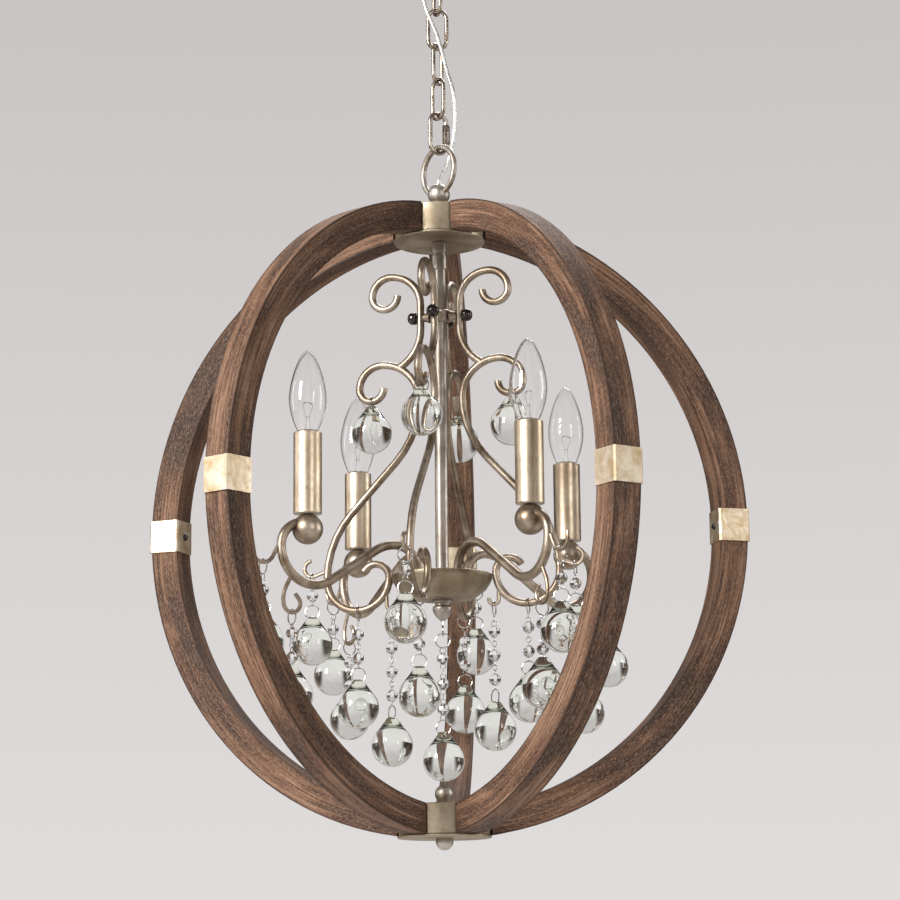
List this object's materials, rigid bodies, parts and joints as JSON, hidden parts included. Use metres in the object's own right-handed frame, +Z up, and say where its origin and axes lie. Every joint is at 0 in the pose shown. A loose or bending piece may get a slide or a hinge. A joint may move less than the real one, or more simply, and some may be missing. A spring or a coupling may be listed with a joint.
{
  "type": "orb chandelier",
  "caption": "Hanging orb chandelier: wooden meridian ribs on metal hubs round a stem with harps, candle arms and crystal drops, on a chain under a ceiling canopy.",
  "frame": {"origin": "centre of the canopy on the ceiling face, between the two bar holes", "axes": "+Z up, towards the ceiling; the picture was taken from -Y"},
  "size_m": [0.5323, 0.518, 0.8228],
  "materials": {
    "weathered_wood": "open grain, worn stain",
    "antique_champagne": "antique champagne leaf over metal, satin",
    "satin_nickel": "satin nickel",
    "pearl_sleeve": "pearl lacquer on thin metal tube",
    "dark_screw": "dark oxide",
    "chain_nickel": "aged nickel",
    "lamp_brass": "plain",
    "socket_plastic": "plain",
    "clear_crystal": "polished, clear",
    "lamp_glass": "clear",
    "lamp_mount": "glass mount with the filament",
    "clear_cable": "clear jacket over silver wire"
  },
  "bodies": {
    "ceiling": {"ceiling_canopy": "satin_nickel", "mounting_bar": "satin_nickel", "hanging_loop": "satin_nickel", "canopy_nut": "satin_nickel", "supply_cable": "clear_cable"},
    "link_1": {"chain_link_1": "chain_nickel"},
    "link_2": {"chain_link_2": "chain_nickel"},
    "link_3": {"chain_link_3": "chain_nickel"},
    "link_4": {"chain_link_4": "chain_nickel"},
    "quick": {"quick_link": "chain_nickel"},
    "quick_nut": {"quick_link_nut": "chain_nickel"},
    "ring": {"hanging_ring": "satin_nickel"},
    "orb": {"ball_cap": "satin_nickel", "top_hub": "antique_champagne", "bottom_hub": "antique_champagne", "rib_plates": "antique_champagne", "hub_balls": "satin_nickel", "upper_rib_halves": "weathered_wood", "lower_rib_halves": "weathered_wood", "rib_sleeves": "antique_champagne", "sleeve_screws": "dark_screw", "stem": "satin_nickel", "stem_couplers": "satin_nickel", "stem_collar": "antique_champagne", "collar_screws": "antique_champagne", "harp_rods": "antique_champagne", "dish": "antique_champagne", "dish_finial": "satin_nickel", "centre_eye": "satin_nickel", "candle_arms": "antique_champagne", "candle_cups": "antique_champagne", "candle_sleeves": "pearl_sleeve", "lamp_sockets": "socket_plastic", "bulb_bases": "lamp_brass", "bulbs": "lamp_glass", "bulb_filaments": "lamp_mount"},
    "arm_drop_1_body": {"arm_drop_1": "clear_crystal"},
    "arm_low_drop_1_body": {"arm_low_drop_1": "clear_crystal"},
    "arm_drop_2_body": {"arm_drop_2": "clear_crystal"},
    "arm_low_drop_2_body": {"arm_low_drop_2": "clear_crystal"},
    "arm_drop_3_body": {"arm_drop_3": "clear_crystal"},
    "arm_low_drop_3_body": {"arm_low_drop_3": "clear_crystal"},
    "arm_drop_4_body": {"arm_drop_4": "clear_crystal"},
    "arm_low_drop_4_body": {"arm_low_drop_4": "clear_crystal"},
    "harp_drop_1_body": {"harp_drop_1": "clear_crystal"},
    "harp_low_drop_1_body": {"harp_low_drop_1": "clear_crystal"},
    "scroll_drop_1_body": {"scroll_drop_1": "clear_crystal"},
    "harp_drop_2_body": {"harp_drop_2": "clear_crystal"},
    "harp_low_drop_2_body": {"harp_low_drop_2": "clear_crystal"},
    "scroll_drop_2_body": {"scroll_drop_2": "clear_crystal"},
    "harp_inner_drop_2_body": {"harp_inner_drop_2": "clear_crystal"},
    "harp_drop_3_body": {"harp_drop_3": "clear_crystal"},
    "harp_low_drop_3_body": {"harp_low_drop_3": "clear_crystal"},
    "scroll_drop_3_body": {"scroll_drop_3": "clear_crystal"},
    "harp_drop_4_body": {"harp_drop_4": "clear_crystal"},
    "harp_low_drop_4_body": {"harp_low_drop_4": "clear_crystal"},
    "scroll_drop_4_body": {"scroll_drop_4": "clear_crystal"},
    "harp_inner_drop_4_body": {"harp_inner_drop_4": "clear_crystal"},
    "centre_drop_body": {"centre_drop": "clear_crystal"}
  },
  "joints": [
    {"name": "link_1_swing", "type": "hinge", "parent": "ceiling", "child": "link_1", "pos_m": [0, 0, -0.04952], "axis": [0.9397, 0.342, 0], "range_deg": [-15, 15], "deforming": ["supply_cable"]},
    {"name": "link_2_swing", "type": "hinge", "parent": "link_1", "child": "link_2", "pos_m": [0, 0, -0.08157], "axis": [0.342, -0.9397, 0], "range_deg": [-15, 15], "deforming": ["supply_cable"]},
    {"name": "link_3_swing", "type": "hinge", "parent": "link_2", "child": "link_3", "pos_m": [0, 0, -0.11407], "axis": [0.9962, 0.0872, 0], "range_deg": [-15, 15], "deforming": ["supply_cable"]},
    {"name": "link_4_swing", "type": "hinge", "parent": "link_3", "child": "link_4", "pos_m": [0, 0, -0.14657], "axis": [0.454, 0.891, 0], "range_deg": [-15, 15], "deforming": ["supply_cable"]},
    {"name": "quick_swing", "type": "hinge", "parent": "link_4", "child": "quick", "pos_m": [0, 0, -0.17907], "axis": [0.5878, -0.809, 0], "range_deg": [-15, 15], "deforming": ["supply_cable"]},
    {"name": "quick_nut_turn", "type": "hinge", "parent": "quick", "child": "quick_nut", "pos_m": [0.007, 0.00388, -0.19297], "axis": [0, 0, 1], "range_deg": [0, 720]},
    {"name": "ring_swing", "type": "hinge", "parent": "quick", "child": "ring", "pos_m": [0, 0, -0.21097], "axis": [0.8746, 0.4848, 0], "range_deg": [-15, 15], "deforming": ["supply_cable"]},
    {"name": "orb_swing", "type": "hinge", "parent": "ring", "child": "orb", "pos_m": [0, 0, -0.24917], "axis": [0.6293, -0.7771, 0], "range_deg": [-10, 10], "deforming": ["supply_cable"]},
    {"name": "arm_drop_1_swing", "type": "hinge", "parent": "orb", "child": "arm_drop_1_body", "pos_m": [-0.14739, -0.09942, -0.59156], "axis": [-0.829, -0.5592, 0], "range_deg": [-12, 12]},
    {"name": "arm_low_drop_1_swing", "type": "hinge", "parent": "orb", "child": "arm_low_drop_1_body", "pos_m": [-0.12441, -0.08391, -0.63148], "axis": [-0.829, -0.5592, 0], "range_deg": [-12, 12]},
    {"name": "arm_drop_2_swing", "type": "hinge", "parent": "orb", "child": "arm_drop_2_body", "pos_m": [0.09553, -0.14995, -0.59156], "axis": [0.5373, -0.8434, 0], "range_deg": [-12, 12]},
    {"name": "arm_low_drop_2_swing", "type": "hinge", "parent": "orb", "child": "arm_low_drop_2_body", "pos_m": [0.08063, -0.12656, -0.63148], "axis": [0.5373, -0.8434, 0], "range_deg": [-12, 12]},
    {"name": "arm_drop_3_swing", "type": "hinge", "parent": "orb", "child": "arm_drop_3_body", "pos_m": [0.14739, 0.09942, -0.59156], "axis": [0.829, 0.5592, 0], "range_deg": [-12, 12]},
    {"name": "arm_low_drop_3_swing", "type": "hinge", "parent": "orb", "child": "arm_low_drop_3_body", "pos_m": [0.12441, 0.08391, -0.63148], "axis": [0.829, 0.5592, 0], "range_deg": [-12, 12]},
    {"name": "arm_drop_4_swing", "type": "hinge", "parent": "orb", "child": "arm_drop_4_body", "pos_m": [-0.09942, 0.14739, -0.59156], "axis": [-0.5592, 0.829, 0], "range_deg": [-12, 12]},
    {"name": "arm_low_drop_4_swing", "type": "hinge", "parent": "orb", "child": "arm_low_drop_4_body", "pos_m": [-0.08391, 0.12441, -0.63148], "axis": [-0.5592, 0.829, 0], "range_deg": [-12, 12]},
    {"name": "harp_drop_1_swing", "type": "hinge", "parent": "orb", "child": "harp_drop_1_body", "pos_m": [-0.03025, -0.11288, -0.58463], "axis": [-0.2588, -0.9659, 0], "range_deg": [-12, 12]},
    {"name": "harp_low_drop_1_swing", "type": "hinge", "parent": "orb", "child": "harp_low_drop_1_body", "pos_m": [-0.01951, -0.07281, -0.61619], "axis": [-0.2588, -0.9659, 0], "range_deg": [-12, 12]},
    {"name": "scroll_drop_1_swing", "type": "hinge", "parent": "orb", "child": "scroll_drop_1_body", "pos_m": [-0.01618, -0.06037, -0.43224], "axis": [-0.2588, -0.9659, 0], "range_deg": [-12, 12]},
    {"name": "harp_drop_2_swing", "type": "hinge", "parent": "orb", "child": "harp_drop_2_body", "pos_m": [0.11288, -0.03025, -0.58463], "axis": [0.9659, -0.2588, 0], "range_deg": [-12, 12]},
    {"name": "harp_low_drop_2_swing", "type": "hinge", "parent": "orb", "child": "harp_low_drop_2_body", "pos_m": [0.07281, -0.01951, -0.61619], "axis": [0.9659, -0.2588, 0], "range_deg": [-12, 12]},
    {"name": "scroll_drop_2_swing", "type": "hinge", "parent": "orb", "child": "scroll_drop_2_body", "pos_m": [0.06037, -0.01618, -0.43224], "axis": [0.9659, -0.2588, 0], "range_deg": [-12, 12]},
    {"name": "harp_inner_drop_2_swing", "type": "hinge", "parent": "orb", "child": "harp_inner_drop_2_body", "pos_m": [0.04397, -0.01178, -0.61605], "axis": [0.9659, -0.2588, 0], "range_deg": [-12, 12]},
    {"name": "harp_drop_3_swing", "type": "hinge", "parent": "orb", "child": "harp_drop_3_body", "pos_m": [0.03025, 0.11288, -0.58463], "axis": [0.2588, 0.9659, 0], "range_deg": [-12, 12]},
    {"name": "harp_low_drop_3_swing", "type": "hinge", "parent": "orb", "child": "harp_low_drop_3_body", "pos_m": [0.01951, 0.07281, -0.61619], "axis": [0.2588, 0.9659, 0], "range_deg": [-12, 12]},
    {"name": "scroll_drop_3_swing", "type": "hinge", "parent": "orb", "child": "scroll_drop_3_body", "pos_m": [0.01618, 0.06037, -0.43224], "axis": [0.2588, 0.9659, 0], "range_deg": [-12, 12]},
    {"name": "harp_drop_4_swing", "type": "hinge", "parent": "orb", "child": "harp_drop_4_body", "pos_m": [-0.11288, 0.03025, -0.58463], "axis": [-0.9659, 0.2588, 0], "range_deg": [-12, 12]},
    {"name": "harp_low_drop_4_swing", "type": "hinge", "parent": "orb", "child": "harp_low_drop_4_body", "pos_m": [-0.07281, 0.01951, -0.61619], "axis": [-0.9659, 0.2588, 0], "range_deg": [-12, 12]},
    {"name": "scroll_drop_4_swing", "type": "hinge", "parent": "orb", "child": "scroll_drop_4_body", "pos_m": [-0.06037, 0.01618, -0.43224], "axis": [-0.9659, 0.2588, 0], "range_deg": [-12, 12]},
    {"name": "harp_inner_drop_4_swing", "type": "hinge", "parent": "orb", "child": "harp_inner_drop_4_body", "pos_m": [-0.04397, 0.01178, -0.61605], "axis": [-0.9659, 0.2588, 0], "range_deg": [-12, 12]},
    {"name": "centre_drop_swing", "type": "hinge", "parent": "orb", "child": "centre_drop_body", "pos_m": [0, 0, -0.64078], "axis": [0, -1, 0], "range_deg": [-6, 6]}
  ]
}
